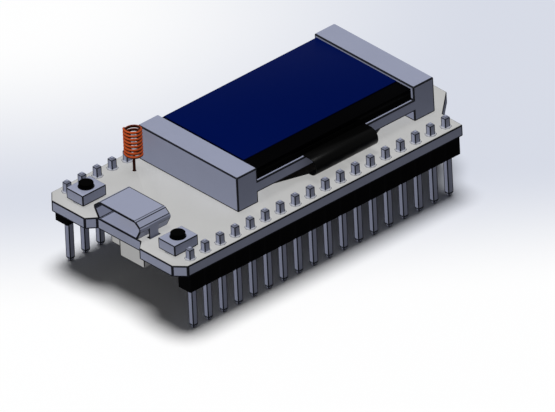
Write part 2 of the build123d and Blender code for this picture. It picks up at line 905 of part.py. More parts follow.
def all_small_parts():
    memory_leads = spread(memory_leads_per_side, memory_lead_pitch)
    charger_leads = spread(charger_leads_per_side, charger_lead_pitch)
    regulator_leads = spread(regulator_lead_count, regulator_lead_pitch)
    coax = coax_parts()
    pieces = {
        "controller_chip": on_board(quad_chip(controller_side), *controller_place),
        "controller_chip_terminals": on_board(quad_terminals(controller_side), *controller_place),
        "memory_chip": on_board(moulded_body(memory_body), *memory_place),
        "memory_chip_leads": on_board(
            wing_leads(memory_body, memory_leads, memory_leads, lead_width), *memory_place),
        "controller_crystal": on_board(crystal(), *clock_place),
        "radio_chip": under_board(quad_chip(radio_side), *radio_place),
        "radio_chip_terminals": under_board(quad_terminals(radio_side), *radio_place),
        "radio_crystal": under_board(crystal(), *radio_clock_place),
        "data_bridge_chip": under_board(quad_chip(bridge_side), *bridge_place),
        "data_bridge_chip_terminals": under_board(quad_terminals(bridge_side), *bridge_place),
        "charger_chip": under_board(moulded_body(charger_body), *charger_place),
        "charger_chip_leads": under_board(
            wing_leads(charger_body, charger_leads, charger_leads[::2], lead_width), *charger_place),
        "voltage_regulator": under_board(moulded_body(regulator_body), *regulator_place),
        "voltage_regulator_leads": under_board(
            wing_leads(regulator_body, regulator_leads, [0], regulator_lead_width, regulator_tab_width),
            *regulator_place),
        "aerial_socket_base": under_board(coax["base"], *coax_place),
        "aerial_socket_ring": under_board(coax["ring"], *coax_place),
        "aerial_socket_pin": under_board(coax["pin"], *coax_place),
    }
    groups = {
        "capacitor": (capacitor_body, capacitor_places),
        "resistor": (resistor_body, resistor_places),
        "inductor": (coil_body, inductor_places),
        "status_light": (lamp_body, lamp_places),
    }
    for name, (body, places) in groups.items():
        pieces[name + "_bodies"] = small_group(body, places, 0)
        pieces[name + "_caps"] = small_group(body, places, 1)
    return pieces


def all_pieces():
    pieces = {"circuit_board": circuit_board()}
    for side, y in row_places.items():
        pieces["header_strip_" + side] = header_strip(y)
        pieces["header_pins_" + side] = header_pins(y)
    pieces["display_holder"] = display_holder()
    pieces["display_front_glass"] = display_front_glass()
    pieces["display_film"] = display_film()
    pieces["display_rear_glass"] = display_rear_glass()
    pieces["display_near_pad"] = display_near_pad()
    pieces["display_far_pad"] = display_far_pad()
    pieces["display_driver_chip"] = display_driver_chip()
    pieces["display_ribbon"] = display_ribbon()
    pieces["display_ribbon_contacts"] = display_ribbon_contacts()
    pieces["spring_antenna"] = spring_antenna()
    pieces["data_socket_shell"] = socket_shell()
    pieces["data_socket_insulator"] = socket_insulator()
    pieces["data_socket_contacts"] = socket_contacts_set()
    for side, y in button_places.items():
        pieces[side + "_button_base"] = button_base(y)
        pieces[side + "_button_cover"] = button_cover(y)
        pieces[side + "_button_dome"] = button_dome(y)
        pieces[side + "_button_terminals"] = button_terminals(y)
        pieces[side + "_button_cap"] = button_cap(y)
    pieces["battery_socket_housing"] = battery_housing()
    pieces["battery_socket_pins"] = battery_pins()
    pieces["battery_socket_tabs"] = battery_tabs()
    pieces.update(all_small_parts())
    return pieces


os.makedirs("parts", exist_ok=True)
for name, shape in all_pieces().items():
    export_step(shape, "parts/" + name + ".step")
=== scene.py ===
import json
import math
import bmesh
import bpy
from mathutils import Matrix, Vector


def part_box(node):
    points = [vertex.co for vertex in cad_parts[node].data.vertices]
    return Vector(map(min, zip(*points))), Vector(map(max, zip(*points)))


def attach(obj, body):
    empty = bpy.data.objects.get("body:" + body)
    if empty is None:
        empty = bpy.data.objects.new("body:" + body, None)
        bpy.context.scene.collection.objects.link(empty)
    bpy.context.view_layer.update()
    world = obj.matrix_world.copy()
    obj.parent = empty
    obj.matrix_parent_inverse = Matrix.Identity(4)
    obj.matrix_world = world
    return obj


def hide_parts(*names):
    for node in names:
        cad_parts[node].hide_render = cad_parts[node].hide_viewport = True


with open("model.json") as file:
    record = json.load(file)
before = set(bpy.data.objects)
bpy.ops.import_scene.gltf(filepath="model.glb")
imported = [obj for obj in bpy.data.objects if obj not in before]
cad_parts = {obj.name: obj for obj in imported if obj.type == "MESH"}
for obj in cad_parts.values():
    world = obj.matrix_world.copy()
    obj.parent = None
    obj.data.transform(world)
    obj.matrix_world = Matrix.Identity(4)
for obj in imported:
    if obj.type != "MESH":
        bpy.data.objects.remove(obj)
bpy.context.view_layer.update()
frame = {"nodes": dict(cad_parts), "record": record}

mm = 0.001
collection = bpy.context.scene.collection
print("frame loaded:", len(frame["nodes"]), "nodes")


def spanOf(node):
    low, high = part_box(node)
    return Vector(low), Vector(high)


boardLow, boardHigh = spanOf("circuit_board")
boardTop = boardHigh.z
boardBottom = boardLow.z


# Camera: the parallel view of the photograph, 8 pixels to the millimetre

cameraView = {
    "right": Vector((0.7391, -0.6723, -0.0421)),
    "up": Vector((0.3814, 0.3661, 0.8488)),
    "back": Vector((-0.5552, -0.6434, 0.5270)),
    "target": Vector((-12.403, -16.372, 15.186)) * mm,
    "distance": 0.35,
    "width": 69.35 * mm,
    "nearest": 0.01,
    "farthest": 5.0,
}


def makeCamera():
    camera = bpy.data.cameras.new("boardCamera")
    camera.type = "ORTHO"
    camera.ortho_scale = cameraView["width"]
    camera.clip_start = cameraView["nearest"]
    camera.clip_end = cameraView["farthest"]
    stand = bpy.data.objects.new("boardCamera", camera)
    axes = Matrix((cameraView["right"], cameraView["up"], cameraView["back"])).transposed()
    place = cameraView["target"] + cameraView["back"] * cameraView["distance"]
    stand.matrix_world = Matrix.Translation(place) @ axes.to_4x4()
    collection.objects.link(stand)
    bpy.context.scene.camera = stand


makeCamera()
print("camera made")


# Shader nodes that the sky, the floor and the finishes share

def feed(tree, socket, value):
    # a constant or another node's output into an input
    if isinstance(value, bpy.types.NodeSocket):
        tree.links.new(value, socket)
    else:
        socket.default_value = value


def mathNode(tree, operation, *values):
    node = tree.nodes.new("ShaderNodeMath")
    node.operation = operation
    for i, value in enumerate(values):
        feed(tree, node.inputs[i], value)
    return node.outputs[0]


def mixNode(tree, kind, factor, first, second):
    node = tree.nodes.new("ShaderNodeMix")
    node.data_type = kind
    for label, value in (("Factor", factor), ("A", first), ("B", second)):
        feed(tree, node.inputs[label], value)
    return node.outputs["Result"]


def fadeNode(tree, value, low, high):
    # 0 up to low, 1 from high on, smooth between
    node = tree.nodes.new("ShaderNodeMapRange")
    node.interpolation_type = "SMOOTHSTEP"
    for label, setting in (("Value", value), ("From Min", low), ("From Max", high)):
        feed(tree, node.inputs[label], setting)
    return node.outputs["Result"]


def noiseNode(tree, place, scale, detail):
    node = tree.nodes.new("ShaderNodeTexNoise")
    for label, value in (("Vector", place), ("Scale", scale), ("Detail", detail)):
        feed(tree, node.inputs[label], value)
    return node.outputs["Fac"]


# Lights: the floor has a broad lamp of its own for its soft shadow. The board has a lamp
# overhead, most of it without shadows so that the socket's inside shows, and low fills that
# glossy surfaces don't mirror. A lamp's angle is in degrees.

lampPlan = {
    "floorLamp": {"towards": (0.03, 0.07, 1.0), "strength": 0.93, "angle": 28,
                  "shadow": True, "gloss": True},
    "overhead": {"towards": (-0.02, 0.06, 1.0), "strength": 0.14, "angle": 25,
                 "shadow": True, "gloss": True},
    "overheadFill": {"towards": (-0.02, 0.06, 1.0), "strength": 0.76, "angle": 25,
                     "shadow": False, "gloss": True},
    "frontFill": {"towards": (-1.0, 0.02, 0.0), "strength": 0.45, "angle": 4,
                  "shadow": False, "gloss": False},
    "sideFill": {"towards": (0.02, -1.0, 0.0), "strength": 0.1, "angle": 4,
                 "shadow": False, "gloss": False},
    "rearFill": {"towards": (0.75, 0.66, 0.0), "strength": 0.3, "angle": 4,
                 "shadow": False, "gloss": False},
    "underFill": {"towards": (0.0, 0.0, -1.0), "strength": 0.04, "angle": 4,
                  "shadow": False, "gloss": False},
}
skyPlan = {"tint": (0.97, 0.98, 1.0), "light": 0.07, "seen": 1.0, "mirrored": 0.3}


def makeLamp(name, plan):
    light = bpy.data.lights.new(name, "SUN")
    light.energy = plan["strength"] * math.pi
    light.angle = math.radians(plan["angle"])
    light.use_shadow = plan["shadow"]
    lamp = bpy.data.objects.new(name, light)
    lamp.visible_glossy = plan["gloss"]
    lamp.rotation_euler = Vector(plan["towards"]).to_track_quat("Z", "Y").to_euler()
    collection.objects.link(lamp)
    return lamp


def linkLamps(lamps, floor):
    # a lamp lights either the floor alone or all but the floor
    for name, lamp in lamps.items():
        group = bpy.data.collections.new(name + "Reach")
        group.objects.link(floor)
        state = "INCLUDE" if name == "floorLamp" else "EXCLUDE"
        lamp.light_linking.receiver_collection = group
        group.collection_objects[0].light_linking.link_state = state


def makeSky():
    # white behind the object, dimmer in mirrors and dimmer still as a light
    world = bpy.data.worlds.new("studioSky")
    world.use_nodes = True
    bpy.context.scene.world = world
    tree = world.node_tree
    background = tree.nodes["Background"]
    background.inputs["Color"].default_value = (*skyPlan["tint"], 1)
    path = tree.nodes.new("ShaderNodeLightPath")
    mirrored = mathNode(tree, "MAXIMUM", path.outputs["Is Glossy Ray"], path.outputs["Is Transmission Ray"])
    strength = mixNode(tree, "FLOAT", mirrored, skyPlan["light"], skyPlan["mirrored"])
    strength = mixNode(tree, "FLOAT", path.outputs["Is Camera Ray"], strength, skyPlan["seen"])
    tree.links.new(strength, background.inputs["Strength"])


lamps = {name: makeLamp(name, plan) for name, plan in lampPlan.items()}
makeSky()


# Floor: white near the camera, pale blue-grey further off, with a painted pool of light, white, in it

floorPlan = {
    "size": 1.2,
    "rough": 0.9,
    "near": (1.0, 1.0, 1.0),
    "far": (0.685, 0.715, 0.80),
    "bounce": (0.13, 0.13, 0.14),
    "turn": 40.8,                     # degrees, to the camera's own left and right
    "fadeStart": -19 * mm,
    "fadeEnd": 12 * mm,
    "paintedLightSpot": (-33.5 * mm, 53 * mm),
    "spotWidth": 56 * mm,
    "spotDepth": 42.7 * mm,
    "spotFade": (0.12, 1.15),         # shares of the width and depth
}


def squaredShare(tree, value, middle, width):
    # how far a value is from the middle, as a share of the width, squared
    distance = mathNode(tree, "SUBTRACT", value, middle)
    share = mathNode(tree, "MULTIPLY", distance, 1 / width)
    return mathNode(tree, "POWER", share, 2.0)


def makeFloorFinish():
    material = bpy.data.materials.new("studioFloor")
    material.use_nodes = True
    tree = material.node_tree
    shader = tree.nodes["Principled BSDF"]
    shader.inputs["Roughness"].default_value = floorPlan["rough"]
    shader.inputs["Specular IOR Level"].default_value = 0.0
    coordinates = tree.nodes.new("ShaderNodeTexCoord")
    turned = tree.nodes.new("ShaderNodeMapping")
    turned.inputs["Rotation"].default_value = (0, 0, math.radians(floorPlan["turn"]))
    tree.links.new(coordinates.outputs["Object"], turned.inputs["Vector"])
    split = tree.nodes.new("ShaderNodeSeparateXYZ")
    tree.links.new(turned.outputs["Vector"], split.inputs["Vector"])
    across, away = split.outputs["X"], split.outputs["Y"]
    fade = fadeNode(tree, away, floorPlan["fadeStart"], floorPlan["fadeEnd"])
    # the painted pool of light: the floor stays white round this spot
    spotX, spotY = floorPlan["paintedLightSpot"]
    sideways = squaredShare(tree, across, spotX, floorPlan["spotWidth"])
    inwards = squaredShare(tree, away, spotY, floorPlan["spotDepth"])
    reach = mathNode(tree, "SQRT", mathNode(tree, "ADD", sideways, inwards))
    spot = fadeNode(tree, reach, *floorPlan["spotFade"])
    share = mathNode(tree, "MULTIPLY", fade, spot)
    paint = mixNode(tree, "RGBA", share, (*floorPlan["near"], 1), (*floorPlan["far"], 1))
    path = tree.nodes.new("ShaderNodeLightPath")
    seen = mixNode(tree, "RGBA", path.outputs["Is Camera Ray"], (*floorPlan["bounce"], 1), paint)
    tree.links.new(seen, shader.inputs["Base Color"])
    return material


def makeFloor():
    half = floorPlan["size"] / 2
    mesh = bpy.data.meshes.new("studioFloor")
    corners = [(-half, -half, 0), (half, -half, 0), (half, half, 0), (-half, half, 0)]
    mesh.from_pydata(corners, [], [(0, 1, 2, 3)])
    mesh.materials.append(makeFloorFinish())
    floor = bpy.data.objects.new("studioFloor", mesh)
    collection.objects.link(floor)
    return floor


linkLamps(lamps, makeFloor())
print("lights and floor made")


# Effects that several finishes share, as shader node groups

grainPlan = {"detail": 4.0, "broadScale": 420.0, "broadDetail": 2.0}
brushDetail = 3.0


def newGroup(name, inputs, outputs):
    group = bpy.data.node_groups.new(name, "ShaderNodeTree")
    for label, kind, value in inputs:
        socket = group.interface.new_socket(name=label, in_out="INPUT", socket_type=kind)
        socket.default_value = value
    for label, kind in outputs:
        group.interface.new_socket(name=label, in_out="OUTPUT", socket_type=kind)
    start = group.nodes.new("NodeGroupInput")
    end = group.nodes.new("NodeGroupOutput")
    return group, start, end


def toneFrom(group, start, centred):
    # a factor on the colour that swings about 1 by the group's Contrast
    swing = mathNode(group, "MULTIPLY", centred, start.outputs["Contrast"])
    return mathNode(group, "ADD", swing, 1.0)


def makeGrainGroup():
    inputs = [("Scale", "NodeSocketFloat", 9000.0), ("Contrast", "NodeSocketFloat", 0.1)]
    outputs = [("Tone", "NodeSocketFloat"), ("Height", "NodeSocketFloat")]
    group, start, end = newGroup("mouldGrain", inputs, outputs)
    place = group.nodes.new("ShaderNodeTexCoord").outputs["Object"]
    fine = noiseNode(group, place, start.outputs["Scale"], grainPlan["detail"])
    broad = noiseNode(group, place, grainPlan["broadScale"], grainPlan["broadDetail"])
    centred = mathNode(group, "SUBTRACT", mathNode(group, "ADD", fine, broad), 1.0)
    group.links.new(toneFrom(group, start, centred), end.inputs["Tone"])
    group.links.new(fine, end.inputs["Height"])
    return group


def makeBrushGroup():
    inputs = [("Along", "NodeSocketFloat", 600.0), ("Across", "NodeSocketFloat", 14000.0),
              ("Contrast", "NodeSocketFloat", 0.1)]
    outputs = [("Tone", "NodeSocketFloat"), ("Height", "NodeSocketFloat")]
    group, start, end = newGroup("satinBrush", inputs, outputs)
    place = group.nodes.new("ShaderNodeTexCoord")
    stretch = group.nodes.new("ShaderNodeCombineXYZ")
    for axis, label in (("X", "Along"), ("Y", "Across"), ("Z", "Across")):
        group.links.new(start.outputs[label], stretch.inputs[axis])
    scaled = group.nodes.new("ShaderNodeVectorMath")
    scaled.operation = "MULTIPLY"
    group.links.new(place.outputs["Object"], scaled.inputs[0])
    group.links.new(stretch.outputs["Vector"], scaled.inputs[1])
    streaks = noiseNode(group, scaled.outputs["Vector"], 1.0, brushDetail)
    centred = mathNode(group, "SUBTRACT", streaks, 0.5)
    group.links.new(toneFrom(group, start, centred), end.inputs["Tone"])
    group.links.new(streaks, end.inputs["Height"])
    return group


def makeEdgeGroup():
    # shades the faces that are marked as edges
    inputs = [("Colour", "NodeSocketColor", (0.5, 0.5, 0.5, 1)), ("Tone", "NodeSocketFloat", 1.0),
              ("Edge Level", "NodeSocketFloat", 0.5)]
    group, start, end = newGroup("edgeShade", inputs, [("Colour", "NodeSocketColor")])
    mark = group.nodes.new("ShaderNodeAttribute")
    mark.attribute_name = "edgeMark"
    lowered = mathNode(group, "SUBTRACT", start.outputs["Edge Level"], 1.0)
    onEdge = mathNode(group, "MULTIPLY_ADD", mark.outputs["Fac"], lowered, 1.0)
    level = mathNode(group, "MULTIPLY", onEdge, start.outputs["Tone"])
    scaled = group.nodes.new("ShaderNodeVectorMath")
    scaled.operation = "SCALE"
    group.links.new(start.outputs["Colour"], scaled.inputs[0])
    group.links.new(level, scaled.inputs["Scale"])
    group.links.new(scaled.outputs["Vector"], end.inputs["Colour"])
    return group


grainGroup = makeGrainGroup()
brushGroup = makeBrushGroup()
edgeGroup = makeEdgeGroup()


# Finishes: paint as 0 to 255, bump in millimetres. The edge is the paint's level on marked
# edges, and a brush has its scales along and across.

finishPlan = {
    "boardLacquer": {"paint": (189, 189, 188), "rough": 0.55, "specular": 0.1,
                     "grain": 5200, "contrast": 0.05, "bump": 0.004, "edge": 0.04, "bounce": 0.45},
    "trackLacquer": {"paint": (176, 176, 174), "rough": 0.45, "specular": 0.15,
                     "grain": 5200, "contrast": 0.05, "bump": 0.003, "edge": 0.3},
    "boardEdge": {"paint": (155, 160, 181), "rough": 0.8, "specular": 0.05,
                  "grain": 16000, "contrast": 0.16, "bump": 0.012, "edge": 0.04},
    "holderPlastic": {"paint": (149, 154, 176), "rough": 0.62, "specular": 0.1,
                      "grain": 11000, "contrast": 0.06, "bump": 0.008, "edge": 0.04},
    "blackPlastic": {"paint": (5, 5, 6), "rough": 0.7, "specular": 0.04,
                     "grain": 12000, "contrast": 0.3, "bump": 0.008, "edge": 2.0},
    "capPlastic": {"paint": (1, 1, 1), "rough": 0.6, "specular": 0.015,
                   "grain": 12000, "contrast": 0.3, "bump": 0.006, "edge": 2.5},
    "panelGlass": {"paint": (2, 2, 3), "rough": 0.3, "specular": 0.01,
                   "grain": 2500, "contrast": 0.1, "bump": 0.001, "edge": 1.4},
    "blueFilm": {"paint": (0, 14, 72), "rough": 0.3, "specular": 0.01,
                 "grain": 3000, "contrast": 0.05, "bump": 0.001, "edge": 0.4},
    "padFoam": {"paint": (8, 8, 8), "rough": 0.95, "specular": 0.02,
                "grain": 9000, "contrast": 0.5, "bump": 0.03, "edge": 1.0},
    "chipResin": {"paint": (30, 30, 32), "rough": 0.7, "specular": 0.15,
                  "grain": 14000, "contrast": 0.25, "bump": 0.01, "edge": 1.5},
    "ribbonFilm": {"paint": (3, 3, 3), "rough": 0.3, "specular": 0.09,
                   "grain": 3500, "contrast": 0.2, "bump": 0.002, "edge": 1.5},
    "copperWire": {"paint": (188, 81, 39), "rough": 0.5, "metal": 0.1, "specular": 0.08,
                   "brush": (900, 9000), "contrast": 0.08, "bump": 0.004, "edge": 0.05},
    "goldPlate": {"paint": (214, 178, 92), "rough": 0.32, "metal": 0.85, "specular": 0.4,
                  "brush": (700, 12000), "contrast": 0.08, "bump": 0.003, "edge": 0.7},
    "socketMetal": {"paint": (155, 160, 182), "rough": 0.45, "metal": 0.15, "specular": 0.15,
                    "brush": (500, 15000), "contrast": 0.08, "bump": 0.006, "edge": 0.03},
    "pinMetal": {"paint": (155, 160, 182), "rough": 0.45, "metal": 0.12, "specular": 0.15,
                 "brush": (14000, 14000), "contrast": 0.1, "bump": 0.004, "edge": 0.04},
    "tinnedMetal": {"paint": (176, 178, 184), "rough": 0.38, "metal": 0.5, "specular": 0.3,
                    "brush": (5000, 5000), "contrast": 0.12, "bump": 0.01, "edge": 0.6},
    "solderTin": {"paint": (170, 172, 180), "rough": 0.6, "metal": 0.15, "specular": 0.15,
                  "brush": (5000, 5000), "contrast": 0.12, "bump": 0.01, "edge": 0.6},
    "canMetal": {"paint": (168, 171, 178), "rough": 0.36, "metal": 0.5, "specular": 0.3,
                 "brush": (400, 12000), "contrast": 0.1, "bump": 0.005, "edge": 0.5},
    "batteryPlastic": {"paint": (203, 203, 202), "rough": 0.6, "specular": 0.1,
                       "grain": 9000, "contrast": 0.05, "bump": 0.008, "edge": 0.04},
    "tanCeramic": {"paint": (166, 134, 104), "rough": 0.55, "specular": 0.2,
                   "grain": 20000, "contrast": 0.2, "bump": 0.01, "edge": 0.8},
    "blackGlaze": {"paint": (26, 26, 28), "rough": 0.3, "specular": 0.3,
                   "grain": 20000, "contrast": 0.2, "bump": 0.004, "edge": 1.4},
    "greyFerrite": {"paint": (74, 75, 78), "rough": 0.7, "specular": 0.15,
                    "grain": 22000, "contrast": 0.3, "bump": 0.015, "edge": 0.9},
    "milkyResin": {"paint": (226, 222, 198), "rough": 0.3, "specular": 0.4,
                   "grain": 8000, "contrast": 0.05, "bump": 0.002, "edge": 0.8},
}


def fromPaint(paint):
    # a paint colour in the renderer's linear values
    linear = []
    for level in paint:
        share = level / 255
        linear.append(((share + 0.055) / 1.055) ** 2.4 if level > 10 else share / 12.92)
    return linear


def makeFinish(name, plan):
    material = bpy.data.materials.new(name)
    material.use_nodes = True
    tree = material.node_tree
    shader = tree.nodes["Principled BSDF"]
    shader.inputs["Roughness"].default_value = plan["rough"]
    shader.inputs["Specular IOR Level"].default_value = plan["specular"]
    shader.inputs["Metallic"].default_value = plan.get("metal", 0.0)
    pattern = tree.nodes.new("ShaderNodeGroup")
    if "brush" in plan:
        pattern.node_tree = brushGroup
        pattern.inputs["Along"].default_value, pattern.inputs["Across"].default_value = plan["brush"]
    else:
        pattern.node_tree = grainGroup
        pattern.inputs["Scale"].default_value = plan["grain"]
    pattern.inputs["Contrast"].default_value = plan["contrast"]
    tone = pattern.outputs["Tone"]
    if "bounce" in plan:
        # the lacquer throws back less light on to the pieces above it than it shows
        path = tree.nodes.new("ShaderNodeLightPath")
        dimmed = mathNode(tree, "MULTIPLY_ADD", path.outputs["Is Diffuse Ray"], plan["bounce"] - 1, 1.0)
        tone = mathNode(tree, "MULTIPLY", tone, dimmed)
    edge = tree.nodes.new("ShaderNodeGroup")
    edge.node_tree = edgeGroup
    edge.inputs["Colour"].default_value = (*fromPaint(plan["paint"]), 1)
    edge.inputs["Edge Level"].default_value = plan["edge"]
    tree.links.new(tone, edge.inputs["Tone"])
    tree.links.new(edge.outputs["Colour"], shader.inputs["Base Color"])
    relief = tree.nodes.new("ShaderNodeBump")
    relief.inputs["Distance"].default_value = plan["bump"] * mm
    tree.links.new(pattern.outputs["Height"], relief.inputs["Height"])
    tree.links.new(relief.outputs["Normal"], shader.inputs["Normal"])
    return material


finishes = {name: makeFinish(name, plan) for name, plan in finishPlan.items()}
print("finishes made:", len(finishes))


# Ways of making pieces. In the plans, angles are in degrees and lengths in shares of the edge's
# or line's width.

samePoint = 0.0005 * mm
flatAngle = math.radians(1.0)     # faces that meet at less are one face
edgePlan = {"room": 2.2, "segments": 2}
linePlan = {
    "sharpFrom": 30,
    "leastCorner": 60,
    "mostCorner": 165,
    "mostSides": 12,
    "leastSide": 1.2,
    "leastLongest": 4,
}


def tidyCopy(node):
    # a CAD node's mesh as whole faces, ready for its edges to be worked on
    work = bmesh.new()
    work.from_mesh(frame["nodes"][node].data)
    bmesh.ops.remove_doubles(work, verts=work.verts, dist=samePoint)
    bmesh.ops.dissolve_limit(work, angle_limit=flatAngle, verts=work.verts, edges=work.edges)
    return work


def edgeLayer(work):
    return work.faces.layers.float.get("edgeMark") or work.faces.layers.float.new("edgeMark")


def roundEdges(work, width, sharpFrom=35, clamp=True):
    # rounds the sharp edges that have room for it and marks the new faces for the edge shade
    work.normal_update()
    mark = edgeLayer(work)
    limit = math.radians(sharpFrom)
    room = edgePlan["room"] * width
    sharp = [e for e in work.edges if len(e.link_faces) == 2 and e.calc_face_angle(0) > limit]
    roomy = [e for e in sharp if all(n.calc_length() > room for v in e.verts for n in v.link_edges)]
    made = bmesh.ops.bevel(work, geom=roomy, offset=width, offset_type="OFFSET", profile=0.5,
                           segments=edgePlan["segments"], affect="EDGES", clamp_overlap=clamp)
    for face in made["faces"]:
        face[mark] = 1.0


def isPlain(face, width):
    # few sides, none too short for the line, and no corner so sharp or flat that it would shoot out
    lengths = [e.calc_length() for e in face.edges]
    least, most = math.radians(linePlan["leastCorner"]), math.radians(linePlan["mostCorner"])
    return (len(lengths) <= linePlan["mostSides"]
            and min(lengths) > linePlan["leastSide"] * width
            and max(lengths) > linePlan["leastLongest"] * width
            and all(least < corner.calc_angle() < most for corner in face.loops))


def lineFaces(work, width, also=()):
    # a narrow dark line round each plain face, along its sharp or rounded edges only
    mark = edgeLayer(work)
    limit = math.radians(linePlan["sharpFrom"])
    lined = [f for f in work.faces if f[mark] == 0 and isPlain(f, width)]
    lined += [f for f in also if f not in lined]
    before = set(work.verts)
    made = bmesh.ops.inset_individual(work, faces=lined, thickness=width, use_even_offset=True)
    for face in made["faces"]:
        outer = [e for e in face.edges if all(v in before for v in e.verts)]
        for edge in outer:
            if edge.calc_face_angle(0) > limit or any(f[mark] >= 1 for f in edge.link_faces if f is not face):
                face[mark] = 1.0


def markNarrow(work, narrow):
    # shades the small chamfers and bends that the piece already has
    mark = edgeLayer(work)
    for face in work.faces:
        if face[mark] == 0 and len(face.edges) == 4 and min(e.calc_length() for e in face.edges) < narrow:
            face[mark] = 1.0


def toObject(name, work, material, smoothBelow=28):
    # faces of a curved surface and rounded edges are smooth, and plain faces stay flat
    mesh = bpy.data.meshes.new(name)
    work.normal_update()
    mark = edgeLayer(work)
    curveTo = math.radians(smoothBelow)
    for face in work.faces:
        bends = [e.calc_face_angle(0) for e in face.edges if len(e.link_faces) == 2
                 and all(f[mark] < 1 for f in e.link_faces)]
        face.smooth = face[mark] > 0 or any(flatAngle < bend < curveTo for bend in bends)
    work.to_mesh(mesh)
    work.free()
    mesh.set_sharp_from_angle(angle=curveTo)
    mesh.materials.append(finishes[material])
    made = bpy.data.objects.new(name, mesh)
    collection.objects.link(made)
    return made


bodyOf = {node: body for body, nodes in frame["record"]["behaviour"]["bodies"].items() for node in nodes}


def seat(piece, node):
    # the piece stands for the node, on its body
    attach(piece, bodyOf[node])
    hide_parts(node)


def addToBoard(piece):
    # a piece of the scene alone
    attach(piece, "board")


def camelCase(node):
    first, *rest = node.split("_")
    return first + "".join(word.capitalize() for word in rest)


def dressNode(node, material, width, line=0.0):
    work = tidyCopy(node)
    roundEdges(work, width * mm, clamp=line == 0)
    if line > 0:
        lineFaces(work, line * mm)
    seat(toObject(camelCase(node), work, material), node)


# Plain solids with rounded edges: finish, edge width and, on some, line width in millimetres

dressPlan = {
    "header_strip_left": ("blackPlastic", 0.04),
    "header_strip_right": ("blackPlastic", 0.04),
    "display_front_glass": ("panelGlass", 0.04),
    "display_film": ("blueFilm", 0.03),
    "display_rear_glass": ("panelGlass", 0.04),
    "display_near_pad": ("padFoam", 0.03),
    "display_far_pad": ("padFoam", 0.03),
    "display_driver_chip": ("chipResin", 0.03),
    "display_ribbon": ("ribbonFilm", 0.015),
    "data_socket_insulator": ("blackPlastic", 0.03),
    "data_socket_contacts": ("goldPlate", 0.02),
    "battery_socket_pins": ("tinnedMetal", 0.04),
    "battery_socket_tabs": ("batteryPlastic", 0.05, 0.08),
    "controller_chip": ("chipResin", 0.05),
    "controller_chip_terminals": ("tinnedMetal", 0.015),
    "memory_chip": ("chipResin", 0.05),
    "memory_chip_leads": ("tinnedMetal", 0.03),
    "controller_crystal": ("canMetal", 0.05),
    "radio_chip": ("chipResin", 0.05),
    "radio_chip_terminals": ("tinnedMetal", 0.015),
    "radio_crystal": ("canMetal", 0.05),
    "data_bridge_chip": ("chipResin", 0.05),
    "data_bridge_chip_terminals": ("tinnedMetal", 0.015),
    "charger_chip": ("chipResin", 0.04),
    "charger_chip_leads": ("tinnedMetal", 0.03),
    "voltage_regulator": ("chipResin", 0.05),
    "voltage_regulator_leads": ("tinnedMetal", 0.03),
    "aerial_socket_base": ("batteryPlastic", 0.03),
    "aerial_socket_ring": ("goldPlate", 0.03),
    "aerial_socket_pin": ("goldPlate", 0.03),
    "capacitor_bodies": ("tanCeramic", 0.03),
    "resistor_bodies": ("blackGlaze", 0.03),
    "inductor_bodies": ("greyFerrite", 0.04),
    "status_light_bodies": ("milkyResin", 0.04),
    "capacitor_caps": ("tinnedMetal", 0.04),
    "resistor_caps": ("tinnedMetal", 0.04),
    "inductor_caps": ("tinnedMetal", 0.04),
    "status_light_caps": ("tinnedMetal", 0.04),
}
for side in ("left", "right"):
    dressPlan[side + "_button_base"] = ("blackPlastic", 0.03)
    dressPlan[side + "_button_cover"] = ("socketMetal", 0.06, 0.1)
    dressPlan[side + "_button_dome"] = ("canMetal", 0.015)
    dressPlan[side + "_button_terminals"] = ("tinnedMetal", 0.03)
    dressPlan[side + "_button_cap"] = ("capPlastic", 0.05)

for node, plan in dressPlan.items():
    dressNode(node, *plan)
print("plain solids dressed:", len(dressPlan))


# Battery socket: its front wall has round corners, and its line follows them

batteryPlan = {"line": 0.1 * mm, "wallDepth": 0.01 * mm}


def makeBatterySocket():
    work = tidyCopy("battery_socket_housing")
    work.normal_update()
    edgeLayer(work)      # a new layer later would lose hold of the wall
    front = min(f.calc_center_median().x for f in work.faces)
    wall = [f for f in work.faces if abs(f.calc_center_median().x - front) < batteryPlan["wallDepth"]]
    lineFaces(work, batteryPlan["line"], wall)
    seat(toObject("batterySocketHousing", work, "batteryPlastic"), "battery_socket_housing")


makeBatterySocket()


# Display holder: its own chamfers are shaded, its upright edges rounded and its faces lined

holderPlan = {"chamfer": 0.25 * mm, "edge": 0.09 * mm, "sharpFrom": 50, "line": 0.1 * mm}


def makeHolder():
    work = tidyCopy("display_holder")
    markNarrow(work, holderPlan["chamfer"])
    roundEdges(work, holderPlan["edge"], holderPlan["sharpFrom"], clamp=False)
    lineFaces(work, holderPlan["line"])
    seat(toObject("displayHolder", work, "holderPlastic"), "display_holder")


makeHolder()


# Data socket: bent sheet, with painted shade in its bends, lines beside them and painted shade on its cut
# rims

shellPlan = {
    "bend": 0.15 * mm,
    "bendShade": 0.2,
    "line": 0.12 * mm,
    "rimShade": 1.0,
    "rimFacing": 0.9,      # share of a face's normal along the board
}


def makeShell():
    work = tidyCopy("data_socket_shell")
    markNarrow(work, shellPlan["bend"])
    mark = edgeLayer(work)
    bends = [f for f in work.faces if f[mark] > 0]
    lineFaces(work, shellPlan["line"])
    for face in bends:
        face[mark] = shellPlan["bendShade"]
    for face in work.faces:
        if abs(face.normal.x) > shellPlan["rimFacing"]:
            face[mark] = shellPlan["rimShade"]
    seat(toObject("dataSocketShell", work, "socketMetal"), "data_socket_shell")


makeShell()
print("battery socket, holder and data socket made")


# Board: lacquered faces, bare laminate round its edges

boardPlan = {"edge": 0.1 * mm, "line": 0.11 * mm, "lacquerFacing": 0.5}


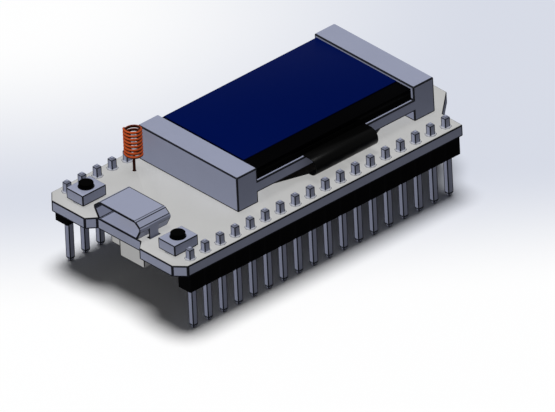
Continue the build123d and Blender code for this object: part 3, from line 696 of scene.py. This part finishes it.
def makeBoard():
    work = tidyCopy("circuit_board")
    roundEdges(work, boardPlan["edge"], clamp=False)
    lineFaces(work, boardPlan["line"])
    board = toObject("circuitBoard", work, "boardLacquer")
    board.data.materials.append(finishes["boardEdge"])
    for face in board.data.polygons:
        if abs(face.normal.z) < boardPlan["lacquerFacing"]:
            face.material_index = 1
    seat(board, "circuit_board")


makeBoard()
print("board made")


# Geometry Nodes trees for pieces that repeat or follow a path

def newTree(name, inputs, onHost):
    # a tree with its inputs, and each socket's identifier by its label
    group = bpy.data.node_groups.new(name, "GeometryNodeTree")
    group.interface.new_socket(name="Geometry", in_out="OUTPUT", socket_type="NodeSocketGeometry")
    if onHost:
        group.interface.new_socket(name="Geometry", in_out="INPUT", socket_type="NodeSocketGeometry")
    keys = {}
    for label, kind in inputs:
        socket = group.interface.new_socket(name=label, in_out="INPUT", socket_type=kind)
        keys[label] = socket.identifier
    return group, keys, group.nodes.new("NodeGroupInput")


def placeShape(group, start, points):
    # the tree's Shape at each point
    shape = group.nodes.new("GeometryNodeObjectInfo")
    place = group.nodes.new("GeometryNodeInstanceOnPoints")
    group.links.new(start.outputs["Shape"], shape.inputs["Object"])
    group.links.new(points, place.inputs["Points"])
    group.links.new(shape.outputs["Geometry"], place.inputs["Instance"])
    return place.outputs["Instances"]


def endTree(group, start, pieces):
    # the pieces made whole and given the tree's Finish
    whole = group.nodes.new("GeometryNodeRealizeInstances")
    finish = group.nodes.new("GeometryNodeSetMaterial")
    end = group.nodes.new("NodeGroupOutput")
    group.links.new(pieces, whole.inputs["Geometry"])
    group.links.new(whole.outputs["Geometry"], finish.inputs["Geometry"])
    group.links.new(start.outputs["Finish"], finish.inputs["Material"])
    group.links.new(finish.outputs["Geometry"], end.inputs["Geometry"])


def makeRowTree():
    # one shape repeated in a straight row
    inputs = [("Shape", "NodeSocketObject"), ("Count", "NodeSocketInt"), ("Step", "NodeSocketVector"),
              ("Start", "NodeSocketVector"), ("Finish", "NodeSocketMaterial")]
    group, keys, start = newTree("rowOfPieces", inputs, False)
    line = group.nodes.new("GeometryNodeMeshLine")
    group.links.new(start.outputs["Count"], line.inputs["Count"])
    group.links.new(start.outputs["Start"], line.inputs["Start Location"])
    group.links.new(start.outputs["Step"], line.inputs["Offset"])
    endTree(group, start, placeShape(group, start, line.outputs["Mesh"]))
    return group, keys


def makePointTree():
    # one shape at each point of the host mesh
    inputs = [("Shape", "NodeSocketObject"), ("Finish", "NodeSocketMaterial")]
    group, keys, start = newTree("piecesAtPoints", inputs, True)
    endTree(group, start, placeShape(group, start, start.outputs["Geometry"]))
    return group, keys


def makeWireTree():
    # a round wire along the host curve, closed at both ends
    inputs = [("Radius", "NodeSocketFloat"), ("Sides", "NodeSocketInt"), ("Finish", "NodeSocketMaterial")]
    group, keys, start = newTree("roundWire", inputs, True)
    circle = group.nodes.new("GeometryNodeCurvePrimitiveCircle")
    sweep = group.nodes.new("GeometryNodeCurveToMesh")
    sweep.inputs["Fill Caps"].default_value = True
    smooth = group.nodes.new("GeometryNodeSetShadeSmooth")
    group.links.new(start.outputs["Radius"], circle.inputs["Radius"])
    group.links.new(start.outputs["Sides"], circle.inputs["Resolution"])
    group.links.new(start.outputs["Geometry"], sweep.inputs["Curve"])
    group.links.new(circle.outputs["Curve"], sweep.inputs["Profile Curve"])
    group.links.new(sweep.outputs["Mesh"], smooth.inputs["Geometry"])
    endTree(group, start, smooth.outputs["Geometry"])
    return group, keys


rowTree = makeRowTree()
pointTree = makePointTree()
wireTree = makeWireTree()


def grow(host, tree, values):
    # runs a tree on a host and keeps the result, in the host's place, as a plain mesh
    group, keys = tree
    name = host.name
    collection.objects.link(host)
    modifier = host.modifiers.new(name, "NODES")
    modifier.node_group = group
    for label, value in values.items():
        modifier[keys[label]] = value
    bpy.context.view_layer.update()
    depsgraph = bpy.context.evaluated_depsgraph_get()
    mesh = bpy.data.meshes.new_from_object(host.evaluated_get(depsgraph), depsgraph=depsgraph)
    mesh.name = name
    bpy.data.objects.remove(host)
    made = bpy.data.objects.new(name, mesh)
    collection.objects.link(made)
    return made


def growShapes(name, tree, shape, material, values, points=()):
    # copies of a shape, which isn't needed afterwards
    host = bpy.data.objects.new(name, bpy.data.meshes.new(name))
    host.data.from_pydata(points, [], [])
    made = grow(host, tree, {"Shape": shape, "Finish": finishes[material], **values})
    bpy.data.objects.remove(shape)
    return made


def growRow(name, shape, material, count, step, start):
    return growShapes(name, rowTree, shape, material, {"Count": count, "Step": (step, 0, 0), "Start": start})


# Header pins and the solder round them on the board's top

pinPlan = {
    "perRow": 18,
    "tipLength": 0.5 * mm,
    "tipWidth": 0.36 * mm,
    "crown": 0.2 * mm,
    "crownShade": 0.5,
    "crownFacing": (0.3, 0.95),      # shares of a slope's normal upwards
    "edge": 0.02 * mm,
    "sharpFrom": 12,
    "line": 0.1 * mm,
}
solderPlan = {
    "padRadius": 0.7 * mm,
    "padHeight": 0.02 * mm,
    "filletRadius": 0.52 * mm,
    "filletHeight": 0.06 * mm,
    "steps": 5,
    "sides": 28,
}


def makePinShape(width, height):
    # a square pin: long taper at the tip, small chamfer at the crown
    work = bmesh.new()
    half = width / 2
    rings = [
        (pinPlan["tipWidth"] / 2, 0.0),
        (half, pinPlan["tipLength"]),
        (half, height - pinPlan["crown"]),
        (half - pinPlan["crown"], height),
    ]
    corners = ((-1, -1), (1, -1), (1, 1), (-1, 1))
    previous = None
    for reach, level in rings:
        ring = [work.verts.new((x * reach, y * reach, level)) for x, y in corners]
        if previous is None:
            work.faces.new(list(reversed(ring)))
        else:
            for i in range(4):
                j = (i + 1) % 4
                work.faces.new((previous[i], previous[j], ring[j], ring[i]))
        previous = ring
    work.faces.new(previous)
    roundEdges(work, pinPlan["edge"], pinPlan["sharpFrom"])
    lineFaces(work, pinPlan["line"])
    # painted shade on the crown's slopes
    mark = edgeLayer(work)
    least, most = pinPlan["crownFacing"]
    for face in work.faces:
        if least < face.normal.z < most and face[mark] == 0:
            face[mark] = pinPlan["crownShade"]
    return toObject("pinShape", work, "pinMetal")


def revolve(name, profile, sides, material):
    # a closed turned shape from radius and height points, from its axis back to its axis
    work = bmesh.new()
    edgeLayer(work)
    previous = None
    for radius, level in profile:
        if radius <= 0:
            ring = [work.verts.new((0, 0, level))]
        else:
            turns = [2 * math.pi * i / sides for i in range(sides)]
            ring = [work.verts.new((radius * math.cos(a), radius * math.sin(a), level)) for a in turns]
        if previous is not None:
            for i in range(sides):
                j = (i + 1) % sides
                corners = [previous[i % len(previous)], previous[j % len(previous)],
                           ring[j % len(ring)], ring[i % len(ring)]]
                unique = list(dict.fromkeys(corners))
                if len(unique) > 2:
                    work.faces.new(unique)
        previous = ring
    bmesh.ops.recalc_face_normals(work, faces=work.faces)
    return toObject(name, work, material, smoothBelow=40)


def makeSolderShape(pinHalf):
    # a thin round pad with a hollow-sided fillet up the pin
    padRadius, pad = solderPlan["padRadius"], solderPlan["padHeight"]
    filletRadius, rise = solderPlan["filletRadius"], solderPlan["filletHeight"]
    profile = [(0, 0), (padRadius, 0), (padRadius, pad), (filletRadius, pad)]
    for i in range(1, solderPlan["steps"] + 1):
        share = i / solderPlan["steps"]
        bend = 1 - math.sqrt(1 - (1 - share) ** 2)
        profile.append((pinHalf + (filletRadius - pinHalf) * bend, pad + rise * share))
    profile.append((0, pad + rise))
    return revolve("solderShape", profile, solderPlan["sides"], "solderTin")


def pinRow(node):
    # a row's pin width, the step from pin to pin and the first pin's place along the board
    low, high = spanOf(node)
    width = high.y - low.y
    step = (high.x - low.x - width) / (pinPlan["perRow"] - 1)
    return width, step, low.x + width / 2


def makePinRows():
    for side in ("left", "right"):
        node = "header_pins_" + side
        low, high = spanOf(node)
        middle = (low.y + high.y) / 2
        width, step, first = pinRow(node)
        shape = makePinShape(width, high.z - low.z)
        pins = growRow(camelCase(node), shape, "pinMetal", pinPlan["perRow"], step, (first, middle, low.z))
        seat(pins, node)
        shape = makeSolderShape(width / 2)
        start = (first, middle, boardTop)
        solder = growRow(side + "RowSolder", shape, "solderTin", pinPlan["perRow"], step, start)
        addToBoard(solder)


makePinRows()
print("pin rows made")


# Ribbon contacts

contactPlan = {"count": 30, "width": 0.36 * mm, "edge": 0.02 * mm}


def makeRibbonContacts():
    low, high = spanOf("display_ribbon_contacts")
    count, width = contactPlan["count"], contactPlan["width"]
    step = (high.x - low.x - width) / (count - 1)
    work = bmesh.new()
    bmesh.ops.create_cube(work, size=1.0)
    bmesh.ops.scale(work, vec=(width, high.y - low.y, high.z - low.z), verts=work.verts)
    roundEdges(work, contactPlan["edge"])
    shape = toObject("contactShape", work, "goldPlate")
    start = (low.x + width / 2, (low.y + high.y) / 2, (low.z + high.z) / 2)
    contacts = growRow("displayRibbonContacts", shape, "goldPlate", count, step, start)
    seat(contacts, "display_ribbon_contacts")


makeRibbonContacts()


# Spring antenna: one length of wire, coiled, turned in to its own axis and down

coilPlan = {
    "wire": 0.38 * mm,
    "diameter": 2.5 * mm,
    "pitch": 0.513 * mm,
    "turns": 7.6,
    "perTurn": 40,
    "sides": 14,
    "startAngle": 353.7,
    "turnIn": 0.35 * mm,
    "elbow": 0.3 * mm,
    "bendSteps": 8,
    "side": 8.97 * mm,
    "legTop": 2.1 * mm,
}
coilShade = {
    "leg": 0.97,
    "inside": 1.0,
    "insideFrom": -0.3,      # share of a face's normal away from the coil's axis
    "underFrom": 0.45,       # from here on down, as a share of the normal upwards
    "under": 2.4,
    "overFrom": 0.8,         # from here on up
    "over": 2.2,
}


def coilMiddle():
    low, high = spanOf("spring_antenna")
    return Vector(((low.x + high.x) / 2, coilPlan["side"], 0))


def coilPath():
    # the wire's middle line, from its foot to its free end
    low, high = spanOf("spring_antenna")
    radius = (coilPlan["diameter"] - coilPlan["wire"]) / 2
    turnIn, elbow, bendSteps = coilPlan["turnIn"], coilPlan["elbow"], coilPlan["bendSteps"]
    height = coilPlan["pitch"] * coilPlan["turns"]
    base = high.z - coilPlan["wire"] / 2 - height
    centre = radius - turnIn
    sweepTo = math.acos(-turnIn / centre)
    points = [Vector((0, 0, low.z)), Vector((0, 0, (low.z + base) / 2))]
    inner = Vector((centre + turnIn * math.cos(sweepTo), turnIn * math.sin(sweepTo), 0))
    along = inner.normalized()
    for i in range(bendSteps + 1):
        angle = math.pi / 2 * i / bendSteps
        out = elbow * (1 - math.cos(angle))
        points.append(along * out + Vector((0, 0, base - elbow * (1 - math.sin(angle)))))
    for i in range(bendSteps + 1):
        angle = sweepTo * (1 - i / bendSteps)
        points.append(Vector((centre + turnIn * math.cos(angle), turnIn * math.sin(angle), base)))
    steps = int(coilPlan["turns"] * coilPlan["perTurn"])
    for i in range(1, steps + 1):
        share = i / steps
        angle = -2 * math.pi * coilPlan["turns"] * share
        points.append(Vector((radius * math.cos(angle), radius * math.sin(angle), base + height * share)))
    middle = coilMiddle()
    turn = Matrix.Rotation(math.radians(coilPlan["startAngle"]), 4, "Z")
    return [turn @ point + middle for point in points]


def makeCurve(name, points):
    curve = bpy.data.curves.new(name, "CURVE")
    curve.dimensions = "3D"
    spline = curve.splines.new("POLY")
    spline.points.add(len(points) - 1)
    for spot, point in zip(spline.points, points):
        spot.co = (*point, 1)
    return bpy.data.objects.new(name, curve)


def markWireShade(mesh):
    # painted shade on the wire: darker between the turns, inside them and down the leg
    middle = coilMiddle()
    legTop = boardTop + coilPlan["legTop"]
    mark = mesh.attributes.new("edgeMark", "FLOAT", "FACE")
    for face in mesh.polygons:
        under = (coilShade["underFrom"] - face.normal.z) * coilShade["under"]
        over = (face.normal.z - coilShade["overFrom"]) * coilShade["over"]
        outwards = (face.center - middle) * Vector((1, 1, 0))
        facing = face.normal.dot(outwards.normalized())
        inside = coilShade["inside"] if facing < coilShade["insideFrom"] else 0.0
        onLeg = coilShade["leg"] if face.center.z < legTop else 0.0
        mark.data[face.index].value = min(1.0, max(0.0, under, over, inside, onLeg))


def makeAntenna():
    line = makeCurve("springAntenna", coilPath())
    values = {"Radius": coilPlan["wire"] / 2, "Sides": coilPlan["sides"], "Finish": finishes["copperWire"]}
    antenna = grow(line, wireTree, values)
    markWireShade(antenna.data)
    seat(antenna, "spring_antenna")


makeAntenna()
print("ribbon contacts and antenna made")


# Underside: tracks under the lacquer, plated holes and the dots at the chips' first corners

trackPlan = {
    "width": 0.22 * mm,
    "height": 0.02 * mm,
    "sunk": 0.004 * mm,
    "firstTerminal": 1.0 * mm,
    "terminalStep": 0.8 * mm,
    "rowReach": 10.6 * mm,
}
fanPlan = [
    {"chip": "radio_chip_terminals", "side": 1, "bend": 0.45 * mm, "pin": 9, "count": 5},
    {"chip": "radio_chip_terminals", "side": -1, "bend": 1.45 * mm, "pin": 10, "count": 5},
    {"chip": "data_bridge_chip_terminals", "side": -1, "bend": 0.65 * mm, "pin": 5, "count": 5},
    {"chip": "data_bridge_chip_terminals", "side": 1, "bend": 2.95 * mm, "pin": 5, "count": 4},
]
loneTracks = [      # width and corners in millimetres
    (0.22, [(-18.4, -0.9), (-17.9, -0.4), (-12.0, -0.4), (-10.4, -2.0), (-8.45, -2.0)]),
    (0.22, [(-18.4, 0.6), (-17.9, 0.1), (-11.8, 0.1), (-10.2, -1.5), (-8.45, -1.5)]),
    (0.22, [(-15.6, 6.2), (-17.2, 6.2), (-17.6, 6.6), (-18.9, 6.6)]),
    (0.6, [(-19.0, -1.6), (-16.9, -3.7), (-16.9, -4.6)]),
    (0.4, [(14.4, -0.6), (15.6, -0.6), (18.4, -3.4)]),
]
holePlan = {
    "radius": 0.3 * mm,
    "bore": 0.14 * mm,
    "lip": 0.168 * mm,
    "height": 0.03 * mm,
    "dish": 0.01 * mm,
    "sides": 16,
    "places": [      # in millimetres
        (-18.4, -0.9), (-18.4, 0.6), (-1.4, 4.4), (3.2, 4.6), (2.6, -0.4), (-16.6, -3.2), (-14.9, -3.6),
        (-13.3, -3.6), (11.4, 9.3), (13.9, 9.3), (16.5, 9.3), (19.0, 9.3), (13.9, -9.3), (16.5, -9.3),
        (19.0, -9.3), (24.2, -2.4), (24.2, -1.2), (24.2, 0.0), (24.2, 1.2), (24.2, 2.4), (22.6, -7.4),
        (22.6, 7.4), (-8.9, -6.9), (1.0, -7.6), (-21.0, -8.6), (-21.0, 8.9),
    ],
}
dotPlan = {
    "chips": ("radio_chip", "data_bridge_chip", "charger_chip"),
    "radius": 0.22 * mm,
    "faceRadius": 0.198 * mm,
    "inset": 0.6 * mm,
    "height": 0.008 * mm,
    "sides": 20,
}


def addTrack(work, points, width):
    # a flat ridge along the points, its corners mitred and its top just inside the board
    last = len(points) - 1
    low, high = boardBottom - trackPlan["height"], boardBottom + trackPlan["sunk"]
    previous = None
    for i, point in enumerate(points):
        before = (points[max(i, 1)] - points[max(i, 1) - 1]).normalized()
        after = (points[min(i, last - 1) + 1] - points[min(i, last - 1)]).normalized()
        along = (before + after).normalized()
        across = Vector((-along.y, along.x)) * (width / 2 / along.dot(after))
        near, far = point - across, point + across
        corners = ((near, low), (far, low), (far, high), (near, high))
        ring = [work.verts.new((*corner, level)) for corner, level in corners]
        if previous is None or i == last:
            work.faces.new(ring)
        if previous is not None:
            for j in range(4):
                k = (j + 1) % 4
                work.faces.new((previous[j], previous[k], ring[k], ring[j]))
        previous = ring


def fanTracks(fan):
    # from a chip's terminals, straight, then slanting, then straight to the header pins
    chipLow, chipHigh = spanOf(fan["chip"])
    side = fan["side"]
    start = chipHigh.y if side > 0 else chipLow.y
    bend = start + side * fan["bend"]
    step, first = pinRow("header_pins_left")[1:]
    for i in range(fan["count"]):
        x = chipLow.x + trackPlan["firstTerminal"] + trackPlan["terminalStep"] * i
        pinX = first + step * (fan["pin"] + i)
        slanted = bend + side * abs(pinX - x)
        corners = [(x, start), (x, bend), (pinX, slanted), (pinX, side * trackPlan["rowReach"])]
        yield [Vector(corner) for corner in corners]


def makeTracks():
    work = bmesh.new()
    edgeLayer(work)
    for fan in fanPlan:
        for points in fanTracks(fan):
            addTrack(work, points, trackPlan["width"])
    for width, corners in loneTracks:
        addTrack(work, [Vector(corner) * mm for corner in corners], width * mm)
    bmesh.ops.recalc_face_normals(work, faces=work.faces)
    addToBoard(toObject("boardTracks", work, "trackLacquer"))


def makeHoles():
    radius, bore, lip, height, dish = (holePlan[key] for key in ("radius", "bore", "lip", "height", "dish"))
    profile = [(0, -dish), (bore, -dish), (lip, -height), (radius - dish, -height), (radius, -dish),
               (radius, dish), (0, dish)]
    shape = revolve("holeShape", profile, holePlan["sides"], "tinnedMetal")
    places = [(x * mm, y * mm, boardBottom) for x, y in holePlan["places"]]
    holes = growShapes("platedHoles", pointTree, shape, "tinnedMetal", {}, places)
    addToBoard(holes)


def makeChipDots():
    radius, height = dotPlan["radius"], dotPlan["height"]
    profile = [(0, -height), (dotPlan["faceRadius"], -height), (radius, 0), (radius, height), (0, height)]
    shape = revolve("dotShape", profile, dotPlan["sides"], "greyFerrite")
    corners = [spanOf(chip)[0] for chip in dotPlan["chips"]]
    places = [(low.x + dotPlan["inset"], low.y + dotPlan["inset"], low.z) for low in corners]
    dots = growShapes("chipDots", pointTree, shape, "greyFerrite", {}, places)
    addToBoard(dots)


makeTracks()
makeHoles()
makeChipDots()
print("underside made")


bpy.context.scene.view_settings.view_transform = "Standard"
